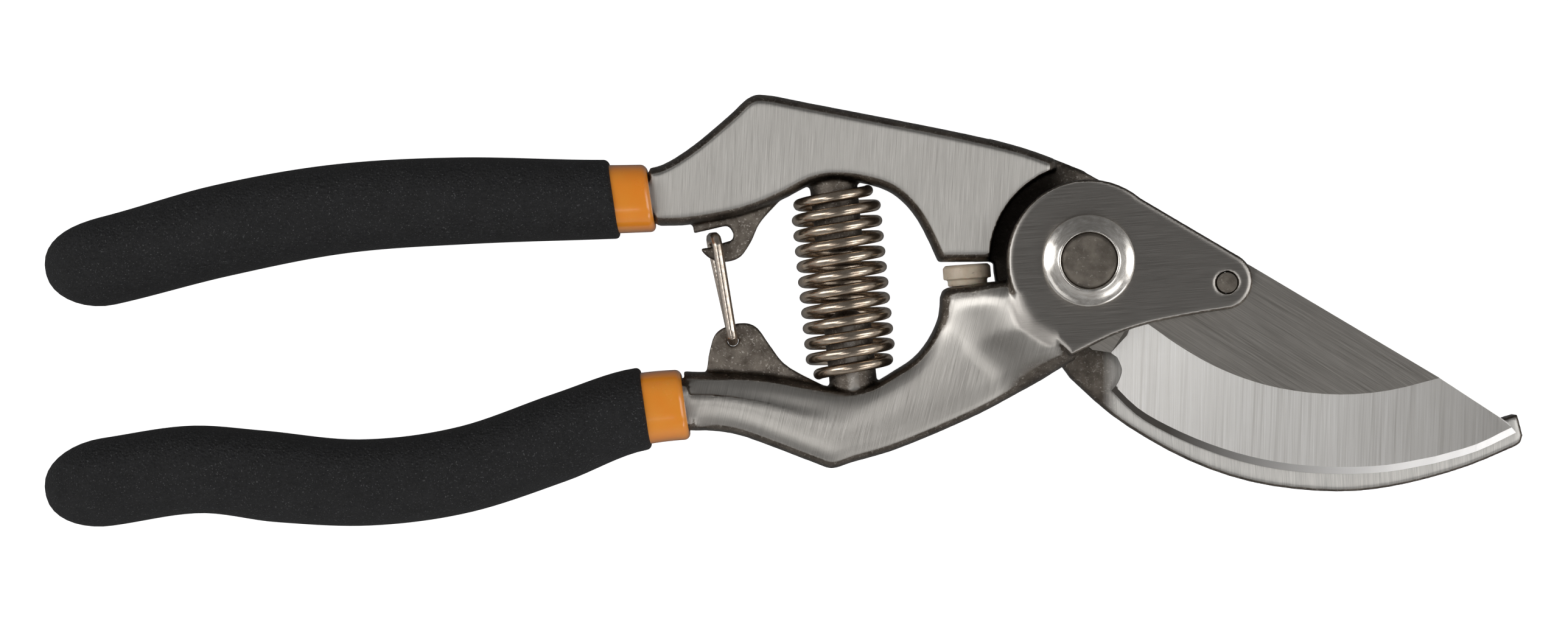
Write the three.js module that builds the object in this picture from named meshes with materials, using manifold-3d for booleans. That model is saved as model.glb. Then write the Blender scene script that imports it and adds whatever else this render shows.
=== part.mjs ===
// Forged bypass hand pruner, closed and latched, in millimetres.
// Origin: on the pivot axis, at the level that the tool rests on. +X to the blade tip,
// +Y to the hook-side handle, +Z to the side that carries the pivot nut.
import * as THREE from "three";
import { mergeVertices } from "three/addons/utils/BufferGeometryUtils.js";
import Module from "manifold-3d";

const wasm = await Module();
wasm.setup();

// ---------- driving dimensions ----------
const GAP = 0.15; // running clearance between pieces that face each other
const MID_Z = 8; // level of the tangs, lugs, spring and grips
const BODY_BACK = 3; // handle forgings, back and front faces
const BODY_FRONT = 13;
const HOOK_BACK = 3.3; // pivot ring and hook
const HOOK_FRONT = 8.5;
const BLADE_BACK = HOOK_FRONT + GAP;
const BLADE_THICK = 3;
const BLADE_FRONT = BLADE_BACK + BLADE_THICK;
const PLATE_BACK = BLADE_FRONT + GAP;
const PLATE_FRONT = 16.6; // raised front plate of the blade-side handle
const BOLT_HEAD = 3; // height of the hex head, from the resting level
const BOLT_R = 4;
const BOLT_ACROSS_FLATS = 13;
const BORE_R = BOLT_R + 0.25;
const NUT_R = 6.64;
const NUT_WALL = 1.1;
const NUT_HEIGHT = 2.3;
const RING_R = 13.3; // pivot ring of the hook-side handle
const DISC_R = 11.5; // round end of the front plate
const RISE_R = 23; // the blade-side forging starts to rise to the plate at this radius
const STEP_R = 14.1; // the hook-side handle steps down inside this radius
const OPEN_DEG = 30; // travel of the pivot
const LUG_THICK = 3.5;
const POST_R = 3.5;
const WIRE_R = 0.8; // spring wire and catch wire
const SPRING_R = 5.8; // to the middle of the wire
const SPRING_END_R = 4.9;
const SPRING_TURNS = 11.5;
const PIN_R = 1.5;
const SKIN = 0.9; // thickness of the grip over the orange sleeve
const SLEEVE = 1.3; // thickness of the sleeve over the tang
const GRIP_HALF_THICK = 8;
const GRIP_SHEAR = -0.15; // the grips end on a slightly slanted line

const SPRING_TOP = new THREE.Vector3(-36.6, 9.9, MID_Z);
const SPRING_FOOT = new THREE.Vector3(-34.0, -16.0, MID_Z);
const PIN_AT = new THREE.Vector2(20.0, -3.15);
const CATCH_EYE = new THREE.Vector2(-51.4, -11.6);
const CATCH_BAR = new THREE.Vector2(-54.3, 3.5);
const CATCH_EYE_R = 1;

// ---------- solids ----------
function solid(geometry) {
  const plain = geometry.index ? geometry.toNonIndexed() : geometry.clone();
  for (const name of Object.keys(plain.attributes)) {
    if (name !== "position") plain.deleteAttribute(name);
  }
  const merged = mergeVertices(plain, 1e-4);
  const index = merged.index.array;
  const kept = [];
  for (let i = 0; i < index.length; i += 3) {
    const [a, b, c] = [index[i], index[i + 1], index[i + 2]];
    if (a !== b && b !== c && c !== a) kept.push(a, b, c);
  }
  const mesh = new wasm.Mesh({
    numProp: 3,
    vertProperties: merged.attributes.position.array,
    triVerts: new Uint32Array(kept),
  });
  return new wasm.Manifold(mesh);
}

function geometryOf(manifold) {
  const mesh = manifold.getMesh();
  const geometry = new THREE.BufferGeometry();
  geometry.setAttribute("position", new THREE.BufferAttribute(mesh.vertProperties, 3));
  geometry.setIndex(new THREE.BufferAttribute(mesh.triVerts, 1));
  const flat = geometry.toNonIndexed();
  flat.computeVertexNormals();
  return flat;
}

// A closed surface through rings of points that all hold the same number of points. lid
// holds the triangles that close the first ring, seen with the last ring behind it.
function loft(rings, lid = null) {
  const around = rings[0].length;
  const index = [];
  for (let ring = 0; ring + 1 < rings.length; ring++) {
    for (let i = 0; i < around; i++) {
      const next = (i + 1) % around;
      const [a, b] = [ring * around + i, ring * around + next];
      index.push(a, b, b + around, a, b + around, a + around);
    }
  }
  const fan = Array.from({ length: around - 2 }, (_, i) => [0, i + 1, i + 2]);
  const last = (rings.length - 1) * around;
  for (const [a, b, c] of lid ?? fan) {
    index.push(a, c, b, last + a, last + b, last + c);
  }
  const geometry = new THREE.BufferGeometry().setFromPoints(rings.flat());
  geometry.setIndex(index);
  return solid(geometry);
}

// An outline is a list of pieces: ["line", points], ["curve", points] through the points,
// or ["arc", x, y, radius, from, to, clockwise] with angles in degrees.
function outline(pieces) {
  const shape = new THREE.Shape();
  const vectors = (points) => points.map(([x, y]) => new THREE.Vector2(x, y));
  let started = false;
  for (const [kind, ...values] of pieces) {
    if (kind === "arc") {
      const [x, y, radius, from, to, clockwise] = values;
      const angleAt = (share) => THREE.MathUtils.degToRad(THREE.MathUtils.lerp(from, to, share));
      const parts = Math.ceil(Math.abs(to - from) / 45);
      for (let i = 0; i < parts; i++) {
        shape.absarc(x, y, radius, angleAt(i / parts), angleAt((i + 1) / parts), clockwise);
      }
    } else {
      const [first, ...rest] = vectors(values[0]);
      if (!started) shape.moveTo(first.x, first.y);
      else if (!shape.currentPoint.equals(first)) shape.lineTo(first.x, first.y);
      if (kind === "curve") shape.splineThru(rest);
      else rest.forEach((point) => shape.lineTo(point.x, point.y));
    }
    started = true;
  }
  return shape;
}

// The outline's points, counterclockwise, without those that lie on a straight run.
function contourOf(shape) {
  let points = shape.getPoints(3);
  if (points[0].distanceTo(points.at(-1)) < 1e-6) points.pop();
  if (THREE.ShapeUtils.isClockWise(points)) points.reverse();
  points = points.filter((point, i) => {
    const before = points.at(i - 1).clone().sub(point);
    const after = points[(i + 1) % points.length].clone().sub(point);
    return Math.abs(before.cross(after)) > 1e-5;
  });
  return points;
}

// The way outwards at each point, long enough to move both of its edges by 1 mm.
function outwards(points) {
  return points.map((point, i) => {
    const before = point.clone().sub(points.at(i - 1)).normalize();
    const after = points[(i + 1) % points.length].clone().sub(point).normalize();
    const middle = before.clone().add(after).normalize();
    const stretch = 1 / Math.max(0.6, middle.dot(after));
    return new THREE.Vector2(middle.y, -middle.x).multiplyScalar(stretch);
  });
}

// An outline made into a slab from back to front, whose edges are rounded by round mm in
// plan and deep mm in depth. grow moves the whole outline outwards.
function slab(shape, back, front, { round = 0, deep = round, grow = 0, steps = 3 } = {}) {
  const points = contourOf(shape);
  const normals = outwards(points);
  const levels = [];
  const edgeSteps = round > 0 ? steps : 0;
  for (let i = 0; i <= edgeSteps; i++) {
    const angle = edgeSteps ? (i / edgeSteps) * (Math.PI / 2) : Math.PI / 2;
    levels.push([deep * (1 - Math.cos(angle)), grow - round * (1 - Math.sin(angle))]);
  }
  const rise = [
    ...levels.map(([depth, offset]) => [back + depth * Math.sign(round), offset]),
    ...levels.reverse().map(([depth, offset]) => [front - depth * Math.sign(round), offset]),
  ];
  const rings = rise.map(([z, offset]) =>
    points.map((point, i) => {
      const moved = point.clone().addScaledVector(normals[i], offset);
      return new THREE.Vector3(moved.x, moved.y, z);
    }),
  );
  return loft(rings, THREE.ShapeUtils.triangulateShape(points, []));
}

// A round bar along Z from back to front.
function bar(x, y, radius, back, front, sides = 32) {
  const geometry = new THREE.CylinderGeometry(radius, radius, front - back, sides);
  geometry.rotateX(Math.PI / 2);
  geometry.translate(x, y, (front + back) / 2);
  return solid(geometry);
}

function turned(profile, sides = 40) {
  return new THREE.LatheGeometry(profile.map(([r, h]) => new THREE.Vector2(r, h)), sides);
}

// A wire of round section along a path.
function wire(path, radius, steps, sides) {
  const section = new THREE.Shape();
  section.absarc(0, 0, radius, 0, 2 * Math.PI);
  const settings = { extrudePath: path, steps, bevelEnabled: false, curveSegments: sides };
  return solid(new THREE.ExtrudeGeometry(section, settings));
}

const group = new THREE.Group();
group.name = "bypass_pruner";

function place(name, manifold, look) {
  const mesh = new THREE.Mesh(geometryOf(manifold), new THREE.MeshStandardMaterial(look));
  mesh.name = name;
  group.add(mesh);
}

const FORGED = { color: "#6f6a63", roughness: 0.5, metalness: 1 };
const GROUND = { color: "#a9a7a2", roughness: 0.3, metalness: 1 };
const TURNED = { color: "#c2c0bb", roughness: 0.25, metalness: 1 };
const DARK_STEEL = { color: "#4c4844", roughness: 0.55, metalness: 1 };
const PLATED = { color: "#b4b4b2", roughness: 0.3, metalness: 1 };
const ORANGE = { color: "#ed8c2c", roughness: 0.3, metalness: 0 };
const BLACK = { color: "#202021", roughness: 0.7, metalness: 0 };
const CREAM = { color: "#cdbeaa", roughness: 0.6, metalness: 0 };

// ---------- grips, sleeves and tangs ----------
// Each line holds [x, middle y, half width] along a handle, from its free end.
const HOOK_SIDE_LINE = [
  [-152, -1.3, 6.4],
  [-143.5, -0.1, 6.5],
  [-126.3, 4.45, 6.75],
  [-109, 7.65, 6.6],
  [-90.8, 8.85, 6.45],
  [-70, 9.05, 5.9],
  [-52, 9.6, 5.7],
];
const BLADE_SIDE_LINE = [
  [-152, -33.7, 6.4],
  [-142, -32.1, 6.5],
  [-130, -30.4, 6.5],
  [-119.2, -31.4, 6.8],
  [-105, -32.3, 6.4],
  [-90.8, -30.45, 6.35],
  [-76.6, -25.7, 6.5],
  [-65, -21.6, 6.1],
  [-48, -20.6, 5.9],
];
const END_ROUNDING = 9;
const RING_POINTS = 18;
const STATION_STEP = 6; // every bar on a line has its sections at the same places

// One closed bar along a handle's line: inset is taken off all round, and square sets the
// corners of the section (2 is an ellipse). lip rounds the last mm at the open end.
function handleBar(line, { inset, halfThick, endX, square = 2.6, startX = -151.9 + inset, lip = 0 }) {
  const spine = new THREE.CatmullRomCurve3(line.map((station) => new THREE.Vector3(...station)));
  const fine = spine.getPoints(200);
  const rings = [];
  const addRing = (x, shrink, along) => {
    const right = Math.max(1, fine.findIndex((point) => point.x >= x));
    const [a, b] = [fine[right - 1], fine[right]];
    const part = (x - a.x) / (b.x - a.x);
    const middle = THREE.MathUtils.lerp(a.y, b.y, part);
    const halfWidth = (THREE.MathUtils.lerp(a.z, b.z, part) - inset) * shrink;
    const halfDepth = (halfThick - inset) * shrink;
    const ring = [];
    for (let i = 0; i < RING_POINTS; i++) {
      const angle = (2 * Math.PI * i) / RING_POINTS;
      const [c, s] = [Math.cos(angle), Math.sin(angle)];
      const across = Math.sign(c) * Math.abs(c) ** (2 / square) * halfWidth;
      const up = Math.sign(s) * Math.abs(s) ** (2 / square) * halfDepth;
      ring.push(new THREE.Vector3(along + GRIP_SHEAR * across, middle + across, MID_Z + up));
    }
    rings.push(ring);
  };
  for (const depth of [0.02, 0.08, 0.2, 0.4, 0.65]) {
    const shrink = Math.sqrt(1 - (1 - depth) ** 2);
    addRing(startX + depth * END_ROUNDING, shrink, startX + depth * END_ROUNDING);
  }
  const firstStation = Math.ceil((startX + END_ROUNDING) / STATION_STEP) * STATION_STEP;
  for (let x = firstStation; x < endX - lip - 0.5; x += STATION_STEP) {
    addRing(x, 1, x);
  }
  addRing(endX - lip, 1, endX - lip);
  if (lip > 0) {
    addRing(endX - 0.3 * lip, 1 - 0.05 * lip, endX - 0.3 * lip);
    addRing(endX, 1 - 0.14 * lip, endX);
  }
  return loft(rings);
}

const TANG_INSET = SKIN + SLEEVE;
const TANG_HALF_THICK = 7.2;
const FIT = 0.1; // gap all round between sleeve, tang and grip

// The tang is as deep as its grip needs, and right of the collar no deeper than the forging.
function tang(line, endX, collarTop, collarFoot) {
  const shape = { inset: TANG_INSET, halfThick: TANG_HALF_THICK, endX, square: 4, startX: -146 };
  const bounds = outline([["line", [[-80, -40], [0, -40], [0, 40], [-80, 40]]]]);
  const proud = slab(bounds, BODY_FRONT - 1, 20)
    .add(slab(bounds, -5, BODY_BACK + 1))
    .subtract(leftOf(collarTop, collarFoot));
  return handleBar(line, shape).subtract(proud);
}

function sleeve(line, endX) {
  const outer = { inset: SKIN, halfThick: GRIP_HALF_THICK, endX, square: 3, lip: 1 };
  const inner = {
    inset: TANG_INSET - FIT,
    halfThick: TANG_HALF_THICK,
    endX: endX + 3,
    square: 4,
    startX: -146 - FIT,
  };
  return handleBar(line, outer).subtract(handleBar(line, inner));
}

function grip(line, endX) {
  const outer = { inset: 0, halfThick: GRIP_HALF_THICK, endX, lip: 0.7 };
  const inner = { inset: SKIN - FIT, halfThick: GRIP_HALF_THICK, endX: endX + 3, square: 3 };
  return handleBar(line, outer).subtract(handleBar(line, inner));
}

// ---------- the pivot end: outlines shared by several pieces ----------
const BLADE_EDGE = [
  [3.6, -19.3],
  [10, -23.9],
  [20, -28.3],
  [30, -30.6],
  [40, -31.05],
  [50, -29.75],
  [62.9, -25.0],
];
const HOOK_BACK_EDGE = [
  [63, -27],
  [55, -30.3],
  [45, -32.9],
  [36, -33.65],
  [25, -32.4],
  [15, -29],
  [5, -23.2],
  [-2, -17.1],
];
const HOOK_EDGE = [
  [11.5, -6.2],
  [14.2, -15],
  [21, -23],
  [30, -26.4],
  [40, -27.4],
  [50, -26.2],
  [63.2, -22.3],
];

function bladeOutline() {
  return outline([
    ["arc", 0, 0, DISC_R - 0.4, 62, 262],
    ["line", [[0.9, -12.9], [3.6, -13.3]]],
    ["curve", [[4.4, -13.8], [5.3, -15.8], [4.1, -18.4], BLADE_EDGE[0]]],
    ["curve", BLADE_EDGE],
    ["line", [[61, -23.4], [23.6, -0.5], [18, 2.8]]],
  ]);
}

function hookOutline() {
  return outline([
    ["curve", HOOK_EDGE],
    ["line", [[64, -25.4], [63.7, -26.5]]],
    ["curve", HOOK_BACK_EDGE],
    ["arc", 0, 0, RING_R, 245, -25, true],
  ]);
}

function plateOutline() {
  return outline([
    ["arc", 0, 0, DISC_R + 0.3, 50, 196],
    ["curve", [[-10.3, -6.3], [-8.5, -9], [-5, -11.4], [-2.5, -13.8]]],
    ["curve", [[1.5, -11.8], [4.7, -10.4], [9.7, -8.9], [17, -7.5]]],
    ["arc", 19.6, -2.9, 4.2, -75, 55],
  ]);
}

// ---------- handles ----------
function springPost(foot, tip) {
  const length = foot.distanceTo(tip);
  const profile = [[0, 0], [POST_R, 0], [POST_R, length - 1.6], [2.4, length - 0.8], [1.4, length], [0, length]];
  const geometry = turned(profile, 24);
  const along = new THREE.Vector3().subVectors(tip, foot).normalize();
  geometry.applyQuaternion(new THREE.Quaternion().setFromUnitVectors(new THREE.Vector3(0, 1, 0), along));
  geometry.translate(foot.x, foot.y, foot.z);
  return solid(geometry);
}

const along = (share) => new THREE.Vector3().lerpVectors(SPRING_TOP, SPRING_FOOT, share);
const FACE_ROUND = { round: 1.3, deep: 2.6 };

function lug(pieces) {
  return slab(outline(pieces), MID_Z - LUG_THICK / 2, MID_Z + LUG_THICK / 2);
}

// Everything left of the line from one point down to another.
function leftOf([topX, topY], [footX, footY]) {
  const slope = (footX - topX) / (footY - topY);
  const xAt = (y) => topX + slope * (y - topY);
  return slab(outline([["line", [[-90, -40], [xAt(-40), -40], [xAt(40), 40], [-90, 40]]]]), -6, 21);
}

function hookSideHandle() {
  const body = slab(
    outline([
      ["curve", [[-68, 13.3], [-63.6, 13.6], [-61, 14.4], [-57, 17], [-52, 21.2], [-49, 23.9], [-46.3, 24.2], [-40, 23], [-20, 19.1],
        [-10, 16.8], [-4.5, 14.9]]],
      ["line", [[-2, 0], [-21.4, -0.1]]],
      ["curve", [[-22.6, 2.6], [-24.5, 6.2], [-27, 9.1], [-30, 10.8], [-35, 11.8], [-39.5, 11.4],
        [-44.5, 8.9], [-50, 6.8], [-57.5, 5.4], [-62.4, 5.2], [-67, 4.9]]],
    ]),
    BODY_BACK,
    BODY_FRONT,
    FACE_ROUND,
  );
  const shoulder = slab(
    outline([
      ["curve", [[-14, 18], [-8, 16.3], [0, 13.2]]],
      ["arc", 0, 0, RING_R, 89, 15, true],
      ["line", [[0, 0], [-14, 1]]],
    ]),
    HOOK_BACK,
    HOOK_FRONT,
    { round: 0.4, steps: 1 },
  );
  const hook = slab(hookOutline(), HOOK_BACK, HOOK_FRONT, { round: 0.4, steps: 1 });
  const notched = lug([
    ["line", [[-57.5, 7.5], [-57.1, 4.1], [-52.4, 5.2], [-51.8, 4.9], [-51.3, 3.9], [-51.5, 3.1]]],
    ["curve", [[-53.2, 2.6], [-54.9, 2], [-56.1, 1.8], [-55.3, 0.8], [-54.3, 0.2], [-52.5, -0.1],
      [-50.4, 0.6], [-48.8, 2.8], [-47.5, 5.6], [-45, 8.4], [-42.5, 11]]],
    ["line", [[-43, 13], [-57, 10]]],
  ]);
  const topEdge = outline([["line", [[0, 13.05], [5, 10.35], [23.6, -0.8], [40, -0.8], [40, 40], [0, 40]]]]);
  return body
    .subtract(bar(0, 0, STEP_R, HOOK_FRONT - 0.01, BODY_FRONT + 1, 64))
    .subtract(leftOf([-63.6, 13.6], [-62.4, 5]))
    .add(shoulder.add(hook).subtract(slab(topEdge, 0, 20)))
    .add(notched)
    .add(springPost(along(-0.14), along(0.33)))
    .add(tang(HOOK_SIDE_LINE, -56, [-63.3, 13.6], [-62.1, 5]))
    .subtract(bar(0, 0, BORE_R, 0, 20));
}

// Everything that the hook-side handle passes through near the pivot as it opens.
function hookSweep() {
  const sweptStep = 5;
  let swept = bar(0, 0, RING_R + 0.5, 0, BLADE_BACK, 64);
  for (let angle = -1; angle <= OPEN_DEG + 1; angle += sweptStep) {
    const turn = Math.min(angle, OPEN_DEG + 1);
    const hook = slab(hookOutline(), 1, BLADE_BACK, { grow: 0.6 });
    swept = swept.add(hook.rotate([0, 0, -turn]));
  }
  return swept;
}

// Points along the upper edge of the blade-side forging, each with its partner on the lower edge.
const FORGING_PAIRS = [
  [[-64, -15.4], [-62.5, -25.6]],
  [[-58.6, -16.1], [-57.3, -24.7]],
  [[-53, -16.2], [-51.5, -25.1]],
  [[-46, -16.7], [-45.5, -27.1]],
  [[-39.5, -17.9], [-39.5, -29.4]],
  [[-35, -18.5], [-37, -30.2]],
  [[-31, -17.8], [-34, -29.3]],
  [[-28, -16.1], [-29, -27.9]],
  [[-25, -14.1], [-24.5, -26.2]],
  [[-22.8, -11.4], [-20, -24.3]],
  [[-21.3, -8], [-15, -22]],
  [[-20.7, -4.2], [-10, -19.3]],
  [[-17.5, -3.5], [-6.5, -17.3]],
  [[-13, -2.9], [-4, -15.7]],
  [[-8, -2.5], [-1.5, -14.2]],
];
// The forging's crowned front, as [distance in from the edge, how far it lies below the crest].
const SHOULDER = [[0, 2.7], [0.35, 1.4], [1, 0.8], [2, 0.42], [3.3, 0.16]];
const BACK_CHAMFER = 0.8;

// The front swells in a cone to meet the round plate.
function crestAt(point) {
  const share = (RISE_R - Math.hypot(point.x, point.y)) / (RISE_R - DISC_R);
  const step = THREE.MathUtils.mapLinear(THREE.MathUtils.clamp(point.y, -9, -3), -9, -3, 0.1, 0.5);
  return BODY_FRONT + (PLATE_FRONT - step - BODY_FRONT) * THREE.MathUtils.smoothstep(share, 0, 1);
}

function bladeSideForging() {
  const lines = [0, 1].map(
    (side) => new THREE.CatmullRomCurve3(FORGING_PAIRS.map((pair) => new THREE.Vector3(...pair[side], 0))),
  );
  const rings = [];
  const steps = 3 * (FORGING_PAIRS.length - 1);
  for (let i = 0; i <= steps; i++) {
    const [upper, lower] = lines.map((line) => line.getPoint(i / steps));
    const across = new THREE.Vector3().subVectors(lower, upper);
    const width = across.length();
    across.normalize();
    const inFrom = (distance) => upper.clone().addScaledVector(across, distance);
    const front = (distance, drop) => {
      const point = inFrom(distance);
      return point.setZ(crestAt(point) - drop);
    };
    const slant = THREE.MathUtils.mapLinear(THREE.MathUtils.clamp(upper.x, -42, -30), -42, -30, 2.2, 1);
    rings.push([
      inFrom(BACK_CHAMFER).setZ(BODY_BACK),
      inFrom(0).setZ(BODY_BACK + BACK_CHAMFER),
      ...SHOULDER.map(([distance, drop]) => front(Math.min(distance * slant, 0.4 * width), drop)),
      front(width / 2, 0),
      ...SHOULDER.map(([distance, drop]) => front(width - distance, drop)).reverse(),
      inFrom(width).setZ(BODY_BACK + BACK_CHAMFER),
      inFrom(width - BACK_CHAMFER).setZ(BODY_BACK),
    ]);
  }
  return loft(rings);
}

function bladeSideHandle() {
  const plate = slab(plateOutline(), PLATE_BACK, PLATE_FRONT, { round: 0.6, steps: 2 });
  const eyed = lug([
    ["line", [[-55.5, -18.5]]],
    ["curve", [[-55, -14], [-54.2, -11], [-52.8, -9.7], [-50.2, -9], [-48, -9.6], [-46, -12.3],
      [-43.5, -15.3], [-38, -18.2]]],
    ["line", [[-38, -21], [-55.5, -21]]],
  ]);
  const pocket = slab(bladeOutline(), BLADE_BACK - 0.2, PLATE_BACK, { grow: 0.4 });
  return bladeSideForging()
    .subtract(leftOf([-58.6, -16.2], [-57.2, -25]))
    .subtract(bar(0, 0, DISC_R + 0.3, BLADE_BACK - 0.2, PLATE_BACK, 64))
    .subtract(pocket)
    .subtract(hookSweep())
    .add(plate)
    .add(eyed)
    .add(springPost(along(1.12), along(0.66)))
    .add(tang(BLADE_SIDE_LINE, -52, [-58.3, -16.2], [-56.9, -25]))
    .subtract(bar(0, 0, BORE_R, 0, 20))
    .subtract(bar(PIN_AT.x, PIN_AT.y, PIN_R + GAP, 0, 20, 24))
    .subtract(bar(CATCH_EYE.x, CATCH_EYE.y, CATCH_EYE_R, 0, 20, 16));
}

// ---------- blade ----------
// The waste above a ground face that runs from a line on the flat down to the edge.
// Points along the cutting edge, each with its partner where the long bevel meets the flat face.
const BEVEL_PAIRS = [
  [[3.2, -18.2], [4.5, -6.5]],
  [[7.5, -22.4], [8.6, -8.9]],
  [[12, -25.05], [13, -12]],
  [[18, -27.65], [18.5, -15.2]],
  [[24, -29.5], [24.3, -17.5]],
  [[30, -30.6], [30, -18.8]],
  [[37, -31.05], [37, -19.4]],
  [[44, -30.75], [44, -18.8]],
  [[51, -29.5], [51.3, -17]],
  [[57.2, -27.7], [56.6, -20.4]],
  [[62.9, -25], [61.6, -23.6]],
];
const BEVEL_LEAVES = 8; // from this pair on, the long bevel reaches the spine
const EDGE_Z = BLADE_BACK + 0.3;
const MICRO_Z = BLADE_BACK + 0.8; // top of the narrow bevel along the edge
const MICRO_WIDTH = 1.05;

function bevelLine(side) {
  const points = BEVEL_PAIRS.map((pair) => new THREE.Vector3(...pair[side], 0));
  const curved = new THREE.CatmullRomCurve3(points.slice(0, BEVEL_LEAVES + 1));
  const onward = new THREE.CatmullRomCurve3(points.slice(BEVEL_LEAVES));
  return (at) => {
    if (at <= BEVEL_LEAVES) return curved.getPoint(at / BEVEL_LEAVES);
    return onward.getPoint((at - BEVEL_LEAVES) / (BEVEL_PAIRS.length - 1 - BEVEL_LEAVES));
  };
}

function groundBlade() {
  const [edgeAt, bevelAt] = [bevelLine(0), bevelLine(1)];
  const hidden = new THREE.Vector3(16, -2, 0);
  const spine = new THREE.Vector3(23.6, -0.5, 0);
  const fullReach = bevelAt(BEVEL_LEAVES).distanceTo(edgeAt(BEVEL_LEAVES));
  const spineEnd = bevelAt(BEVEL_LEAVES).add(new THREE.Vector3(0.03, 0.05, 0));
  const rings = [];
  const steps = 3 * (BEVEL_PAIRS.length - 1);
  for (let i = 0; i <= steps; i++) {
    const at = i / 3;
    const edge = edgeAt(at);
    const bevel = bevelAt(at);
    const reach = edge.distanceTo(bevel);
    const micro = edge.clone().lerp(bevel, Math.min(0.7, MICRO_WIDTH / reach));
    const thinned = at > BEVEL_LEAVES ? reach / fullReach : 1;
    const frontZ = THREE.MathUtils.lerp(MICRO_Z, BLADE_FRONT, thinned);
    const back = bevel.clone().add(new THREE.Vector3(0.03, 0.05, 0));
    if (at < 2) back.lerpVectors(hidden, spine, at / 2);
    else if (at < BEVEL_LEAVES) back.lerpVectors(spine, spineEnd, (at - 2) / (BEVEL_LEAVES - 2));
    rings.push([
      back.clone().setZ(frontZ),
      bevel.setZ(frontZ),
      micro.setZ(MICRO_Z),
      edge.clone().setZ(EDGE_Z),
      edge.clone().setZ(BLADE_BACK),
      back.setZ(BLADE_BACK),
    ]);
  }
  return loft(rings);
}

function blade() {
  const root = outline([
    ["arc", 0, 0, DISC_R - 0.4, 62, 262],
    ["line", [[0.9, -12.9], [3.6, -13.3], [5.9, -10.8], [7, -8], [16, -6], [23.55, -0.5], [18, 2.8]]],
  ]);
  const heel = outline([
    ["line", [[5.9, -10.8], [3.6, -13.3]]],
    ["curve", [[4.6, -14], [5.3, -15.8], [4.8, -17.6], [4, -18.7]]],
    ["line", [[3.3, -19.5], [-3, -19.5], [-3, -5], [5.9, -5]]],
  ]);
  return groundBlade()
    .subtract(slab(heel, 0, 20))
    .add(slab(root, BLADE_BACK, BLADE_FRONT))
    .subtract(bar(0, 0, BORE_R, 0, 20))
    .subtract(bar(PIN_AT.x, PIN_AT.y, PIN_R + GAP, 0, 20, 24));
}

// ---------- fasteners ----------
function pivotBolt() {
  const headR = BOLT_ACROSS_FLATS / 2 / Math.cos(Math.PI / 6);
  const tip = PLATE_FRONT + NUT_HEIGHT + 0.35;
  const profile = [[0, 0], [BOLT_R, 0], [BOLT_R, tip - 1.4], [BOLT_R - 0.35, tip - 1], [0, tip - 1]];
  const shank = turned(profile, 32);
  shank.rotateX(Math.PI / 2);
  shank.translate(0, 0, 1);
  return bar(0, 0, headR, 0, BOLT_HEAD, 6).add(solid(shank));
}

function pivotNut() {
  const foot = PLATE_FRONT + GAP;
  const profile = [
    [BORE_R, foot],
    [NUT_R, foot],
    [NUT_R, foot + NUT_WALL],
    [NUT_R - 0.35, foot + NUT_WALL + 0.25],
    [5.4, foot + NUT_WALL + 0.55],
    [BORE_R + 0.25, foot + NUT_HEIGHT],
    [BORE_R, foot + NUT_HEIGHT],
    [BORE_R, foot],
  ];
  const ring = turned(profile, 48);
  ring.rotateX(Math.PI / 2);
  return solid(ring);
}

function bladePin() {
  return bar(PIN_AT.x, PIN_AT.y, PIN_R, BLADE_BACK, PLATE_FRONT + 0.2, 24);
}

// ---------- bumper, spring and catch ----------
const BUMPER_AT = new THREE.Vector3(-17.1, -3.55, MID_Z);
const BUMPER_TILT = THREE.MathUtils.degToRad(4);

function bumper() {
  const profile = [[0, -2.4], [1.4, -2.4], [1.4, 0], [2.9, 0], [2.9, 1], [3.5, 1], [3.5, 2.7], [3.1, 3.1], [0, 3.1]];
  const geometry = turned(profile, 32);
  geometry.rotateZ(BUMPER_TILT);
  geometry.translate(BUMPER_AT.x, BUMPER_AT.y, BUMPER_AT.z);
  return solid(geometry);
}

function bumperSeat() {
  const profile = [[0, -2.7], [1.55, -2.7], [1.55, 0], [3.9, 0], [3.9, 3], [0, 3]];
  const geometry = turned(profile, 32);
  geometry.rotateZ(BUMPER_TILT);
  geometry.translate(BUMPER_AT.x, BUMPER_AT.y - GAP, BUMPER_AT.z);
  return solid(geometry);
}

class SpringCurve extends THREE.Curve {
  getPoint(share, target = new THREE.Vector3()) {
    const axis = new THREE.Vector3().subVectors(SPRING_FOOT, SPRING_TOP);
    const side = new THREE.Vector3(-axis.y, axis.x, 0).normalize();
    const nearEnd = Math.min(1, Math.min(share, 1 - share) * SPRING_TURNS);
    const radius = THREE.MathUtils.lerp(SPRING_END_R, SPRING_R, THREE.MathUtils.smoothstep(nearEnd, 0, 1));
    const angle = share * SPRING_TURNS * 2 * Math.PI;
    target.lerpVectors(SPRING_TOP, SPRING_FOOT, share);
    target.addScaledVector(side, radius * Math.cos(angle));
    target.z += radius * Math.sin(angle);
    return target;
  }
}

function returnSpring() {
  return wire(new SpringCurve(), WIRE_R, Math.round(SPRING_TURNS * 12), 3);
}

// A path of straight runs whose corners are rounded.
function roundedPath(corners, radius) {
  const path = new THREE.CurvePath();
  let from = corners[0];
  for (let i = 1; i + 1 < corners.length; i++) {
    const corner = corners[i];
    const into = new THREE.Vector3().subVectors(corners[i - 1], corner).setLength(radius).add(corner);
    const out = new THREE.Vector3().subVectors(corners[i + 1], corner).setLength(radius).add(corner);
    path.add(new THREE.LineCurve3(from, into));
    path.add(new THREE.QuadraticBezierCurve3(into, corner, out));
    from = out;
  }
  path.add(new THREE.LineCurve3(from, corners.at(-1)));
  return path;
}

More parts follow.
